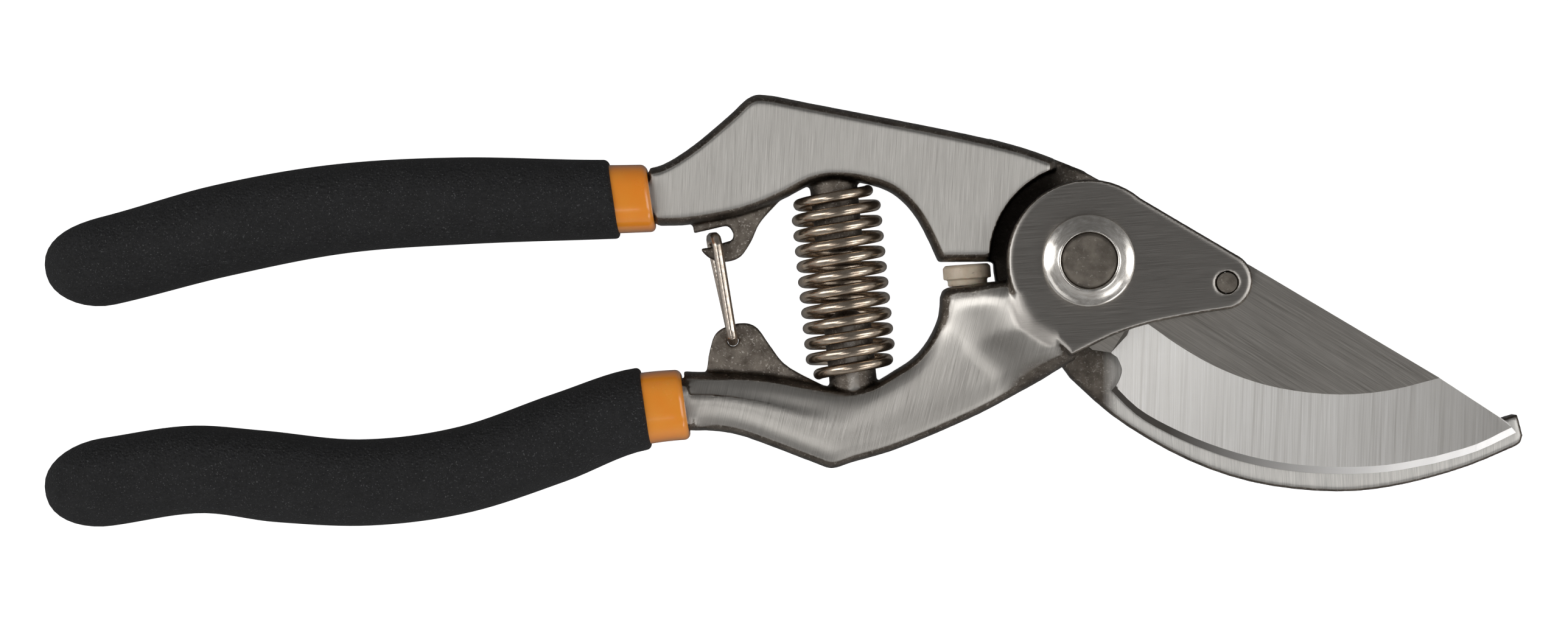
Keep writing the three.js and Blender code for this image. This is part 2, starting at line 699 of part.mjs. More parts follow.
function wireCatch() {
  const reach = LUG_THICK / 2 + WIRE_R + 0.45;
  const endGap = 0.35;
  const lean = 0.45; // the back leg stands a little further from the pivot
  const corners = [
    [CATCH_EYE.x, CATCH_EYE.y, MID_Z + endGap],
    [CATCH_EYE.x, CATCH_EYE.y, MID_Z + reach],
    [CATCH_BAR.x + lean, CATCH_BAR.y, MID_Z + reach],
    [CATCH_BAR.x - lean, CATCH_BAR.y, MID_Z - reach],
    [CATCH_EYE.x, CATCH_EYE.y, MID_Z - reach],
    [CATCH_EYE.x, CATCH_EYE.y, MID_Z - endGap],
  ];
  const path = roundedPath(corners.map((corner) => new THREE.Vector3(...corner)), 1.3);
  return wire(path, WIRE_R, 44, 4);
}

// ---------- assembly ----------
place("blade_side_handle", bladeSideHandle().subtract(bumperSeat()), FORGED);
place("hook_side_handle", hookSideHandle(), FORGED);
place("cutting_blade", blade(), GROUND);
place("pivot_bolt", pivotBolt(), DARK_STEEL);
place("pivot_nut", pivotNut(), TURNED);
place("blade_pin", bladePin(), DARK_STEEL);
place("closing_bumper", bumper(), CREAM);
place("return_spring", returnSpring(), PLATED);
place("wire_catch", wireCatch(), PLATED);
place("hook_side_sleeve", sleeve(HOOK_SIDE_LINE, -63.2), ORANGE);
place("blade_side_sleeve", sleeve(BLADE_SIDE_LINE, -58.2), ORANGE);
place("hook_side_grip", grip(HOOK_SIDE_LINE, -68.7), BLACK);
place("blade_side_grip", grip(BLADE_SIDE_LINE, -64.1), BLACK);

export default group;
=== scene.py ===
"""Looks of the forged bypass pruner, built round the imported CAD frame, in metres."""
import math

import bmesh
import bpy
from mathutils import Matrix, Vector, noise


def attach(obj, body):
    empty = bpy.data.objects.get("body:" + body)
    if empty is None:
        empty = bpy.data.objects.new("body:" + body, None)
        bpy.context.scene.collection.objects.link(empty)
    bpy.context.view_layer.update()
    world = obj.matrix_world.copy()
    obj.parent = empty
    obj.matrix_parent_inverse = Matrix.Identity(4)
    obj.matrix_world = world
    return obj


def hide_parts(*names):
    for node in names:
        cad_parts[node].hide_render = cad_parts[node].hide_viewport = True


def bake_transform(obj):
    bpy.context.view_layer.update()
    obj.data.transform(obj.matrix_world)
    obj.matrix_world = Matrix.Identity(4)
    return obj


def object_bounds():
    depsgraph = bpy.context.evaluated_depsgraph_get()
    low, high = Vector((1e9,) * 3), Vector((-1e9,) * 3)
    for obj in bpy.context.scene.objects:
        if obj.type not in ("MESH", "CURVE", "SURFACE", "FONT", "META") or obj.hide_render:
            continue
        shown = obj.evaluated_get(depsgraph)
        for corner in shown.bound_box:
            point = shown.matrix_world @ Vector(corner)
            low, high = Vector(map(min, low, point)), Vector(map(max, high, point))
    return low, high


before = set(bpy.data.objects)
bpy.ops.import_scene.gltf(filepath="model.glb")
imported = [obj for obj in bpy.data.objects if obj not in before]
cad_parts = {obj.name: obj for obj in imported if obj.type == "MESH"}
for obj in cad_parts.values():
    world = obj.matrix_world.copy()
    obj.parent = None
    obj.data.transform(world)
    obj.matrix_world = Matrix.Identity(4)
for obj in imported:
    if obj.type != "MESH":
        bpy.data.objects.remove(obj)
cad_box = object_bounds()

MM = 0.001
BLADE_SIDE = "blade_side"
HOOK_SIDE = "hook_side"
CATCH = "catch"


# ---------- mesh helpers ----------
def new_object(name, mesh):
    piece = bpy.data.objects.new(name, mesh)
    bpy.context.scene.collection.objects.link(piece)
    return piece


def baked(piece):
    """Applies the piece's modifiers to its mesh."""
    graph = bpy.context.evaluated_depsgraph_get()
    mesh = bpy.data.meshes.new_from_object(piece.evaluated_get(graph))
    piece.modifiers.clear()
    piece.data = mesh
    return piece


def shade(piece, sharp_degrees=None):
    for polygon in piece.data.polygons:
        polygon.use_smooth = True
    if sharp_degrees:
        piece.data.set_sharp_from_angle(angle=math.radians(sharp_degrees))


def refined(name, node, voxel, smoothing, cut_x=None, melt=None):
    """A fine copy of a CAD node, with its edges softened. What lies left of cut_x is left out.
    melt(position, normal) picks what is smoothed much more."""
    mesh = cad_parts[node].data.copy()
    mesh.materials.clear()
    work = bmesh.new()
    work.from_mesh(mesh)
    bmesh.ops.remove_doubles(work, verts=work.verts, dist=0.002 * MM)
    if cut_x is not None:
        everything = work.verts[:] + work.edges[:] + work.faces[:]
        bmesh.ops.bisect_plane(
            work, geom=everything, plane_co=(cut_x, 0, 0), plane_no=(-1, 0, 0), clear_outer=True
        )
        bmesh.ops.holes_fill(work, edges=[edge for edge in work.edges if edge.is_boundary], sides=0)
    work.to_mesh(mesh)
    work.free()
    piece = new_object(name, mesh)
    remesh = piece.modifiers.new("fine", "REMESH")
    remesh.mode = "VOXEL"
    remesh.voxel_size = voxel
    smooth = piece.modifiers.new("soft_edges", "SMOOTH")
    smooth.factor = 0.5
    smooth.iterations = smoothing
    baked(piece)
    if melt is not None:
        group = piece.vertex_groups.new(name="melt")
        picked = [vertex.index for vertex in piece.data.vertices if melt(vertex.co, vertex.normal)]
        group.add(picked, 1, "REPLACE")
        smooth = piece.modifiers.new("melted", "SMOOTH")
        smooth.vertex_group = "melt"
        smooth.factor = 0.5
        smooth.iterations = 50
        baked(piece)
        piece.vertex_groups.clear()
    shade(piece)
    return piece


def revolved(name, profile, steps):
    """A closed turned body from (radius, height) points, round the Z axis."""
    work = bmesh.new()
    rings = []
    for radius, height in profile:
        if radius == 0:
            rings.append([work.verts.new((0, 0, height))])
            continue
        ring = []
        for i in range(steps):
            angle = 2 * math.pi * i / steps
            ring.append(work.verts.new((radius * math.cos(angle), radius * math.sin(angle), height)))
        rings.append(ring)
    for low, high in zip(rings, rings[1:]):
        for i in range(steps):
            corners = [low[i % len(low)], low[(i + 1) % len(low)]]
            corners += [high[(i + 1) % len(high)], high[i % len(high)]]
            work.faces.new(list(dict.fromkeys(corners)))
    bmesh.ops.remove_doubles(work, verts=work.verts, dist=0.0005 * MM)
    bmesh.ops.recalc_face_normals(work, faces=work.faces)
    mesh = bpy.data.meshes.new(name)
    work.to_mesh(mesh)
    work.free()
    return new_object(name, mesh)


def skinned(name, rings, loop=False):
    """A closed skin over rings of points. loop joins the last ring to the first."""
    work = bmesh.new()
    made = [[work.verts.new(point) for point in ring] for ring in rings]
    pairs = list(zip(made, made[1:]))
    if loop:
        pairs.append((made[-1], made[0]))
    count = len(rings[0])
    for low, high in pairs:
        for i in range(count):
            j = (i + 1) % count
            work.faces.new((low[i], low[j], high[j], high[i]))
    if not loop:
        work.faces.new(made[0])
        work.faces.new(made[-1])
    bmesh.ops.recalc_face_normals(work, faces=work.faces)
    mesh = bpy.data.meshes.new(name)
    work.to_mesh(mesh)
    work.free()
    return new_object(name, mesh)


def wire_rings(points, radius, sides):
    """Rings of a round wire along a path, turned as little as possible from one to the next."""
    rings = []
    side = None
    for i, point in enumerate(points):
        ahead = points[min(i + 1, len(points) - 1)] - points[max(i - 1, 0)]
        ahead.normalize()
        if side is None:
            side = ahead.orthogonal().normalized()
        side = (side - ahead * side.dot(ahead)).normalized()
        other = ahead.cross(side)
        ring = []
        for k in range(sides):
            angle = 2 * math.pi * k / sides
            ring.append(point + radius * (math.cos(angle) * side + math.sin(angle) * other))
        rings.append(ring)
    return rings


def roughened(piece, amount, size, keep):
    """Small hammered unevenness, except where keep(position, normal) is true."""
    mesh = piece.data
    placed = [(vertex.co.copy(), vertex.normal.copy()) for vertex in mesh.vertices]
    moved = []
    for place, normal in placed:
        if not keep(place, normal):
            lift = noise.noise(place / size) + 0.5 * noise.noise(place / size * 2.7) - 0.8
            place = place + normal * (amount * lift)
        moved.extend(place)
    mesh.vertices.foreach_set("co", moved)
    mesh.update()


def tightened(piece, axis, from_radius, to_radius):
    """Draws an upright hole closer round the wire or pin in it."""
    fade = 0.6 * MM
    for vertex in piece.data.vertices:
        out = Vector((vertex.co.x - axis[0], vertex.co.y - axis[1], 0))
        share = 1 - min(1, max(0, out.length - from_radius) / fade)
        if share > 0 and out.length > 0:
            vertex.co -= out.normalized() * (from_radius - to_radius) * share


# ---------- material helpers ----------
class Look:
    """A node material on one Principled shader, built a node at a time."""

    def __init__(self, name):
        self.material = bpy.data.materials.new(name)
        self.material.use_nodes = True
        self.tree = self.material.node_tree
        self.shader = self.tree.nodes["Principled BSDF"]
        self.place = self.node("ShaderNodeTexCoord").outputs["Object"]

    def node(self, kind, **settings):
        made = self.tree.nodes.new(kind)
        for key, value in settings.items():
            setattr(made, key, value)
        return made

    def link(self, source, target):
        self.tree.links.new(source, target)

    def put(self, socket, value):
        if isinstance(value, bpy.types.NodeSocket):
            self.link(value, socket)
        else:
            socket.default_value = value

    def set(self, **values):
        for name, value in values.items():
            self.put(self.shader.inputs[name.replace("_", " ").title()], value)

    def math(self, operation, a, b=0.0, clamp=False):
        made = self.node("ShaderNodeMath", operation=operation, use_clamp=clamp)
        self.put(made.inputs[0], a)
        self.put(made.inputs[1], b)
        return made.outputs[0]

    def mapped(self, scale, turn=(0, 0, 0)):
        turned = self.node("ShaderNodeMapping")
        turned.inputs["Rotation"].default_value = turn
        self.link(self.place, turned.inputs["Vector"])
        stretched = self.node("ShaderNodeMapping")
        stretched.inputs["Scale"].default_value = scale
        self.link(turned.outputs[0], stretched.inputs["Vector"])
        return stretched.outputs[0]

    def noise(self, vector, scale=1.0, detail=3.0, rough=0.55):
        made = self.node("ShaderNodeTexNoise")
        self.link(vector, made.inputs["Vector"])
        made.inputs["Scale"].default_value = scale
        made.inputs["Detail"].default_value = detail
        made.inputs["Roughness"].default_value = rough
        return made.outputs["Fac"]

    def ramp(self, value, low, high, from_value=0.0, to_value=1.0):
        made = self.node("ShaderNodeMapRange", clamp=True)
        self.put(made.inputs["Value"], value)
        limits = {"From Min": low, "From Max": high, "To Min": from_value, "To Max": to_value}
        for name, number in limits.items():
            self.put(made.inputs[name], number)
        return made.outputs["Result"]

    def mix(self, share, a, b):
        made = self.node("ShaderNodeMix", data_type="RGBA")
        self.put(made.inputs["Factor"], share)
        self.put(made.inputs["A"], a)
        self.put(made.inputs["B"], b)
        return made.outputs["Result"]

    def blend(self, share, a, b):
        """a where share is 0, b where it is 1, for plain numbers."""
        made = self.node("ShaderNodeMix", data_type="FLOAT")
        self.put(made.inputs["Factor"], share)
        self.put(made.inputs["A"], a)
        self.put(made.inputs["B"], b)
        return made.outputs["Result"]

    def bump(self, height, distance, strength=1.0, under=None):
        made = self.node("ShaderNodeBump")
        made.inputs["Strength"].default_value = strength
        made.inputs["Distance"].default_value = distance
        self.put(made.inputs["Height"], height)
        if under is not None:
            self.link(under, made.inputs["Normal"])
        return made.outputs["Normal"]

    def brushed(self, amount, tangent):
        """Spreads highlights across the brush lines. tangent lies across them."""
        self.shader.inputs["Anisotropic"].default_value = amount
        world = self.node("ShaderNodeVectorTransform", vector_type="VECTOR")
        world.convert_from, world.convert_to = "OBJECT", "WORLD"
        self.put(world.inputs[0], tangent)
        self.link(world.outputs[0], self.shader.inputs["Tangent"])

    def along(self, axis):
        """The object-space coordinate along X, Y or Z, in metres."""
        split = self.node("ShaderNodeSeparateXYZ")
        self.link(self.place, split.inputs[0])
        return split.outputs[axis]

    def facing_up(self):
        """How far the surface faces along Z, from -1 to 1."""
        split = self.node("ShaderNodeSeparateXYZ")
        source = self.node("ShaderNodeTexCoord").outputs["Normal"]
        self.link(source, split.inputs[0])
        return split.outputs["Z"]


def rgb(red, green, blue):
    """A colour from its 0 to 255 screen values."""
    def linear(value):
        value /= 255
        return value / 12.92 if value <= 0.04045 else ((value + 0.055) / 1.055) ** 2.4
    return (linear(red), linear(green), linear(blue), 1)


# ---------- materials ----------
def across(angle):
    """The direction across brush lines that lean by this angle from the Y axis."""
    return (math.cos(angle), math.sin(angle), 0)


def forged_parts(look):
    """Colour, roughness and height of dark forging scale."""
    mottle = look.noise(look.place, scale=420, detail=5, rough=0.6)
    pits = look.noise(look.place, scale=2400, detail=5, rough=0.75)
    colour = look.mix(look.ramp(mottle, 0.35, 0.65), rgb(84, 77, 70), rgb(124, 116, 107))
    colour = look.mix(look.ramp(pits, 0.56, 0.7), colour, rgb(188, 181, 172))
    rough = look.ramp(mottle, 0.3, 0.7, 0.3, 0.46)
    return colour, rough, pits


def brush_parts(look, angle, dark, light):
    """Colour and fine line height of a belt-ground face whose lines lean by angle from Y."""
    turn = (0, 0, angle)
    lines = look.noise(look.mapped((9500, 170, 170), turn), detail=3, rough=0.6)
    streaks = look.noise(look.mapped((2300, 60, 60), turn), detail=3, rough=0.6)
    broad = look.noise(look.place, scale=70, detail=2)
    colour = look.mix(look.ramp(lines, 0.3, 0.7), dark, light)
    darker = tuple(0.8 * channel for channel in dark[:3]) + (1,)
    colour = look.mix(look.ramp(streaks, 0.56, 0.75, 0, 0.35), colour, darker)
    colour = look.mix(look.ramp(broad, 0.4, 0.7, 0, 0.25), colour, dark)
    return colour, lines


def vector_mix(look, share, a, b):
    made = look.node("ShaderNodeMix", data_type="VECTOR")
    look.put(made.inputs["Factor"], share)
    look.put(made.inputs["A"], a)
    look.put(made.inputs["B"], b)
    return made.outputs["Result"]


def painted_step_and_root_shade(look):
    """Painted shade: the deep step round the pivot and the root of the hook are darkened."""
    x, y, z = (look.along(axis) for axis in "XYZ")
    out = look.math("SQRT", look.math("ADD", look.math("MULTIPLY", x, x), look.math("MULTIPLY", y, y)))
    near = look.math("MULTIPLY", look.ramp(out, 14.6 * MM, 14.2 * MM), look.ramp(z, 12.5 * MM, 12.2 * MM))
    left = look.ramp(x, 0.5 * MM, -5 * MM)
    root = look.math("MULTIPLY", look.ramp(y, -11 * MM, -13 * MM), look.ramp(x, 5 * MM, 3 * MM))
    return look.math("MAXIMUM", look.math("MULTIPLY", near, left), look.math("MULTIPLY", root, 0.35))


def handle_look(name, ground, plate, step_and_root_shade=None):
    """Forging scale with two kinds of ground face. ground and plate are each
    (mask maker, line angle, dark colour, light colour, roughness)."""
    look = Look(name)
    colour, rough, height = forged_parts(look)
    if step_and_root_shade is not None:
        # Painted shade: the step round the pivot and the hook's root are darkened towards near black.
        colour = look.mix(look.math("MULTIPLY", step_and_root_shade(look), 0.92), colour, rgb(24, 21, 18))
    tangent = across(0)
    for make_mask, angle, dark, light, smooth in (ground, plate):
        mask = make_mask(look)
        face_colour, lines = brush_parts(look, angle, dark, light)
        colour = look.mix(mask, colour, face_colour)
        rough = look.blend(mask, rough, look.ramp(lines, 0.3, 0.7, smooth - 0.03, smooth + 0.04))
        height = look.blend(mask, height, look.math("MULTIPLY", lines, 0.16))
        tangent = vector_mix(look, mask, tangent, across(-angle))
    look.set(base_color=colour, metallic=1.0, roughness=rough)
    look.brushed(0.8, tangent)
    look.link(look.bump(height, 0.11 * MM, 0.8), look.shader.inputs["Normal"])
    return look.material


def flat_above(level, tilt=(0.86, 0.95)):
    """A mask of faces that look up and lie above this height."""
    def mask(look):
        up = look.ramp(look.facing_up(), *tilt)
        return look.math("MULTIPLY", up, look.ramp(look.along("Z"), level - 0.25 * MM, level))
    return mask


def hook_front(look):
    """The ground front of the hook, which starts right of the pivot."""
    level = look.along("Z")
    below = look.ramp(level, 8.9 * MM, 9.2 * MM, 1, 0)
    above = look.ramp(level, 8.0 * MM, 8.3 * MM)
    right = look.ramp(look.along("X"), 2.5 * MM, 5.0 * MM)
    flat = look.ramp(look.facing_up(), 0.8, 0.95)
    return look.math("MULTIPLY", look.math("MULTIPLY", below, above), look.math("MULTIPLY", right, flat))


def blade_look():
    look = Look("ground_blade")
    up = look.facing_up()
    bevel = look.ramp(up, 0.992, 0.998, 1, 0)
    spine_lean = math.radians(58)
    fine = look.noise(look.mapped((8500, 120, 120), (0, 0, -spine_lean)), detail=3, rough=0.65)
    scratches = look.noise(look.mapped((2600, 22, 22), (0, 0, -spine_lean - 0.05)), detail=3)
    upright = look.noise(look.mapped((8500, 60, 60)), detail=3, rough=0.7)
    streaks = look.noise(look.mapped((2100, 24, 24), (0, 0, 0.03)), detail=3)
    flat_colour = look.mix(look.ramp(fine, 0.3, 0.7), rgb(176, 171, 164), rgb(206, 201, 194))
    flat_colour = look.mix(look.ramp(scratches, 0.56, 0.72, 0, 0.4), flat_colour, rgb(150, 144, 137))
    bevel_colour = look.mix(look.ramp(upright, 0.3, 0.7), rgb(226, 223, 218), rgb(250, 248, 245))
    bevel_colour = look.mix(look.ramp(streaks, 0.5, 0.75, 0, 0.5), bevel_colour, rgb(196, 192, 186))
    honed = look.ramp(up, 0.93, 0.95, 1, 0)
    # Painted light: the honed edge goes from painted shade at the heel to a painted white highlight towards
    # the tip.
    honed_shade_to_highlight_ramp = look.ramp(look.along("X"), 12 * MM, 46 * MM)
    honed_painted_light = look.mix(honed_shade_to_highlight_ramp, rgb(104, 100, 95), rgb(252, 250, 248))
    bevel_colour = look.mix(honed, bevel_colour, honed_painted_light)
    # Painted shade: the ground bevel darkens towards the tip, off the honed edge.
    tip_shade_ramp = look.ramp(look.along("X"), 36 * MM, 62 * MM, 0, 0.55)
    painted_tip_shade = look.math("MULTIPLY", tip_shade_ramp, look.math("SUBTRACT", 1.0, honed))
    bevel_colour = look.mix(painted_tip_shade, bevel_colour, rgb(150, 146, 141))
    flat_rough = look.ramp(fine, 0.3, 0.7, 0.3, 0.38)
    bevel_rough = look.ramp(upright, 0.3, 0.7, 0.36, 0.46)
    look.set(
        base_color=look.mix(bevel, flat_colour, bevel_colour),
        metallic=1.0,
        roughness=look.blend(bevel, flat_rough, bevel_rough),
    )
    look.brushed(0.8, vector_mix(look, bevel, across(spine_lean), across(0)))
    height = look.blend(bevel, fine, upright)
    look.link(look.bump(height, 0.015 * MM, 0.8), look.shader.inputs["Normal"])
    return look.material


def turned_look():
    look = Look("turned_steel")
    rings = look.noise(look.mapped((900, 900, 5200)), detail=3)
    look.set(
        base_color=look.mix(look.ramp(rings, 0.3, 0.7), rgb(214, 208, 200), rgb(240, 236, 230)),
        metallic=1.0,
        roughness=look.ramp(rings, 0.3, 0.7, 0.2, 0.3),
    )
    look.link(look.bump(rings, 0.01 * MM, 0.5), look.shader.inputs["Normal"])
    return look.material


def bolt_look():
    look = Look("bolt_end")
    pits = look.noise(look.place, scale=1500, detail=6, rough=0.75)
    stain = look.noise(look.place, scale=500, detail=3)
    colour = look.mix(look.ramp(stain, 0.35, 0.65), rgb(98, 92, 85), rgb(126, 119, 110))
    colour = look.mix(look.ramp(pits, 0.58, 0.68), colour, rgb(160, 154, 146))
    look.set(base_color=colour, metallic=1.0, roughness=look.ramp(pits, 0.3, 0.7, 0.42, 0.6))
    look.link(look.bump(pits, 0.12 * MM, 0.9), look.shader.inputs["Normal"])
    return look.material


def wire_look():
    look = Look("bright_wire")
    haze = look.noise(look.place, scale=900, detail=4, rough=0.6)
    colour = look.mix(look.ramp(haze, 0.4, 0.65), rgb(212, 200, 188), rgb(190, 176, 162))
    look.set(base_color=colour, metallic=1.0, roughness=look.ramp(haze, 0.35, 0.7, 0.16, 0.3))
    look.link(look.bump(haze, 0.02 * MM, 0.4), look.shader.inputs["Normal"])
    return look.material


def spring_look():
    look = Look("spring_wire")
    haze = look.noise(look.place, scale=700, detail=4, rough=0.6)
    colour = look.mix(look.ramp(haze, 0.4, 0.65), rgb(205, 190, 172), rgb(176, 158, 140))
    look.set(base_color=colour, metallic=1.0, roughness=look.ramp(haze, 0.35, 0.7, 0.18, 0.3))
    look.link(look.bump(haze, 0.03 * MM, 0.4), look.shader.inputs["Normal"])
    return look.material


def orange_look():
    look = Look("orange_dip")
    cloud = look.noise(look.place, scale=160, detail=2)
    ripple = look.noise(look.place, scale=420, detail=2)
    look.set(
        base_color=look.mix(look.ramp(cloud, 0.35, 0.65), rgb(255, 150, 40), rgb(255, 160, 52)),
        roughness=look.ramp(ripple, 0.3, 0.7, 0.2, 0.28),
    )
    look.shader.inputs["Coat Weight"].default_value = 0.7
    look.shader.inputs["Coat Roughness"].default_value = 0.14
    look.shader.inputs["Subsurface Weight"].default_value = 0.12
    look.shader.inputs["Subsurface Scale"].default_value = 0.6 * MM
    look.link(look.bump(ripple, 0.03 * MM, 0.5), look.shader.inputs["Normal"])
    return look.material


def grip_look():
    look = Look("foamed_vinyl")
    cells = look.node("ShaderNodeTexVoronoi")
    look.link(look.place, cells.inputs["Vector"])
    cells.inputs["Scale"].default_value = 2600
    grain = look.noise(look.place, scale=1700, detail=5, rough=0.75)
    cloud = look.noise(look.place, scale=300, detail=3)
    speck = look.noise(look.place, scale=4200, detail=2, rough=0.5)
    colour = look.mix(look.ramp(cloud, 0.3, 0.7), rgb(19, 19, 20), rgb(29, 29, 30))
    colour = look.mix(look.ramp(grain, 0.42, 0.66, 0, 0.5), colour, rgb(52, 52, 53))
    colour = look.mix(look.ramp(speck, 0.63, 0.7, 0, 0.75), colour, rgb(88, 88, 89))
    look.set(base_color=colour, roughness=look.ramp(grain, 0.3, 0.7, 0.55, 0.8))
    look.shader.inputs["Specular IOR Level"].default_value = 0.35
    height = look.math("ADD", cells.outputs["Distance"], look.math("MULTIPLY", grain, 1.5))
    look.link(look.bump(height, 0.2 * MM, 0.9), look.shader.inputs["Normal"])
    return look.material


def bumper_look():
    look = Look("cream_rubber")
    cloud = look.noise(look.place, scale=500, detail=3)
    dirt = look.noise(look.place, scale=1500, detail=4)
    colour = look.mix(look.ramp(cloud, 0.35, 0.65), rgb(212, 194, 170), rgb(228, 213, 192))
    colour = look.mix(look.ramp(dirt, 0.62, 0.72, 0, 0.5), colour, rgb(150, 128, 104))
    look.set(base_color=colour, roughness=0.42)
    look.shader.inputs["Subsurface Weight"].default_value = 0.2
    look.shader.inputs["Subsurface Scale"].default_value = 0.8 * MM
    look.link(look.bump(dirt, 0.03 * MM, 0.4), look.shader.inputs["Normal"])
    return look.material


def dress(piece, node, body, material):
    piece.data.materials.clear()
    piece.data.materials.append(material)
    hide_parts(node)
    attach(piece, body)


# ---------- pieces ----------
FINE = 0.26  # the voxels of the forgings, in mm
MID_Z = 8
HALF_DEEP = 8
SKIN = 0.9  # how thick the foam is outside the sleeve
SLEEVE = 1.3
END_X = -151.8
END_ROUNDING = 9
SHEAR = -0.15  # how far each ring leans along the handle, per mm across it
SLACK = 0.12  # the skins lie this far inside the CAD grips, whose sections are polygons
STATION = 1.5  # between two rings of a grip
LIP = 0.7  # the rounding of the open end of a grip
RIM = 0.9  # the rounding of the open end of a sleeve

CATCH_EYE = (-51.4 * MM, -11.6 * MM)
PIN_AT = (20 * MM, -3.15 * MM)

# Each line holds [x, middle y, half width] along a handle, from its free end, in mm.
HOOK_SIDE_LINE = (
    (-152, -1.3, 6.4), (-143.5, -0.1, 6.5), (-126.3, 4.45, 6.75), (-109, 7.65, 6.6),
    (-90.8, 8.85, 6.45), (-70, 9.05, 5.9), (-52, 9.6, 5.7),
)
BLADE_SIDE_LINE = (
    (-152, -33.7, 6.4), (-142, -32.1, 6.5), (-130, -30.4, 6.5), (-119.2, -31.4, 6.8), (-105, -32.3, 6.4),
    (-90.8, -30.45, 6.35), (-76.6, -25.7, 6.5), (-65, -21.6, 6.1), (-48, -20.6, 5.9),
)


def on_line(line, x):
    """Middle and half width of a handle at x, on a smooth curve through its line."""
    last = len(line) - 1
    i = max(k for k in range(last) if line[k][0] <= x or k == 0)
    a, b = line[i], line[i + 1]
    before, after = line[max(i - 1, 0)], line[min(i + 2, last)]
    run = b[0] - a[0]
    share = (x - a[0]) / run
    values = []
    for k in (1, 2):
        slope_a = (b[k] - before[k]) / (b[0] - before[0]) * run
        slope_b = (after[k] - a[k]) / (after[0] - a[0]) * run
        cube, square = share ** 3, share ** 2
        values.append(
            (2 * cube - 3 * square + 1) * a[k] + (cube - 2 * square + share) * slope_a
            + (3 * square - 2 * cube) * b[k] + (cube - square) * slope_b
        )
    return values


def section(line, x, inset, shrink=1.0, square=2.6, points=72):
    """One ring of a grip or sleeve."""
    middle, half_wide = on_line(line, x)
    wide = (half_wide - inset) * shrink
    deep = (HALF_DEEP - inset) * shrink
    ring = []
    for i in range(points):
        angle = 2 * math.pi * i / points
        c, s = math.cos(angle), math.sin(angle)
        across_line = math.copysign(abs(c) ** (2 / square), c) * wide
        up = math.copysign(abs(s) ** (2 / square), s) * deep
        ring.append(Vector((x + SHEAR * across_line, middle + across_line, MID_Z + up)) * MM)
    return ring


def grip(name, line, end_x):
    """A foam grip with a rounded free end and an open mouth round the sleeve."""
    rings = []
    steps = 10
    for i in range(1, steps + 1):
        angle = math.pi / 2 * i / steps
        shrink = math.sin(angle) ** 0.9
        rings.append(section(line, END_X + END_ROUNDING * (1 - math.cos(angle)), SLACK, shrink))
    x = END_X + END_ROUNDING + STATION
    while x < end_x - LIP - 0.5:
        rings.append(section(line, x, SLACK))
        x += STATION
    for i in range(6):
        angle = math.pi / 2 * i / 5
        inset = SLACK + LIP * (1 - math.cos(angle))
        rings.append(section(line, end_x - LIP + LIP * math.sin(angle), inset))
    mouth = SKIN - 0.02
    rings.append(section(line, end_x, mouth, square=2.8))
    rings.append(section(line, end_x - 5, mouth, square=2.8))
    piece = skinned(name, rings)
    shade(piece, 60)
    return piece


def sleeve(name, line, start_x, end_x):
    """The orange tube between the steel and the grip."""
    rings = []
    steps = round((end_x - start_x) / 1.2)
    for i in range(steps):
        rings.append(section(line, start_x + (end_x - 1 - start_x) * i / steps, SKIN, square=3))
    for i in range(7):
        angle = math.pi / 2 * i / 6
        inset = SKIN + RIM * (1 - math.cos(angle))
        rings.append(section(line, end_x - RIM + RIM * math.sin(angle), inset, square=3))
    inner = SKIN + SLEEVE - 0.1
    rings.append(section(line, end_x, inner, square=3.4))
    rings.append(section(line, start_x, inner, square=3.4))
    piece = skinned(name, rings, loop=True)
    shade(piece, 60)
    return piece


def crowned_front(place, normal):
    """The blade-side forging's front as far as the round plate, and the plate's faint lower left edge."""
    out = math.hypot(place.x, place.y)
    on_body = place.x < 0 and 11.4 * MM < place.z < 16.3 * MM and normal.z > 0.86 and out > 12.4 * MM
    faint_edge = place.x < -4.5 * MM and place.y < -4.5 * MM and 10.3 * MM < out < 14 * MM
    return on_body or (faint_edge and place.z > 13 * MM)


def handles():
    """Both forgings, softened all over. Only the ground faces stay flat."""
    hook_side = refined("hook_side_forging", "hook_side_handle", 1.15 * FINE * MM, 3, cut_x=-72 * MM)
    roughened(
        hook_side, 0.02 * MM, 0.7 * MM,
        lambda at, normal: normal.z > 0.8 and (at.z > 12.5 * MM or at.x > 3 * MM),
    )
    blade_side = refined(
        "blade_side_forging", "blade_side_handle", FINE * MM, 3, cut_x=-67 * MM, melt=crowned_front
    )
    tightened(blade_side, CATCH_EYE, 1.0 * MM, 0.83 * MM)
    tightened(blade_side, PIN_AT, 1.65 * MM, 1.53 * MM)
    roughened(blade_side, 0.02 * MM, 0.7 * MM, lambda at, normal: normal.z > 0.3 and at.z > 10.6 * MM)
    upper_steel = handle_look(
        "hook_side_steel",
        (flat_above(12.7 * MM), 0.05, rgb(164, 161, 156), rgb(190, 187, 182), 0.4),
        (hook_front, -0.05, rgb(176, 174, 170), rgb(212, 209, 204), 0.42),
        painted_step_and_root_shade,
    )
    lower_steel = handle_look(
        "blade_side_steel",
        (flat_above(11.6 * MM, (0.84, 0.92)), math.radians(14), rgb(176, 172, 166), rgb(206, 202, 196), 0.36),
        (flat_above(16.1 * MM, (0.9, 0.97)), math.radians(86), rgb(174, 169, 163), rgb(198, 193, 187), 0.36),
    )
    dress(hook_side, "hook_side_handle", HOOK_SIDE, upper_steel)
    dress(blade_side, "blade_side_handle", BLADE_SIDE, lower_steel)


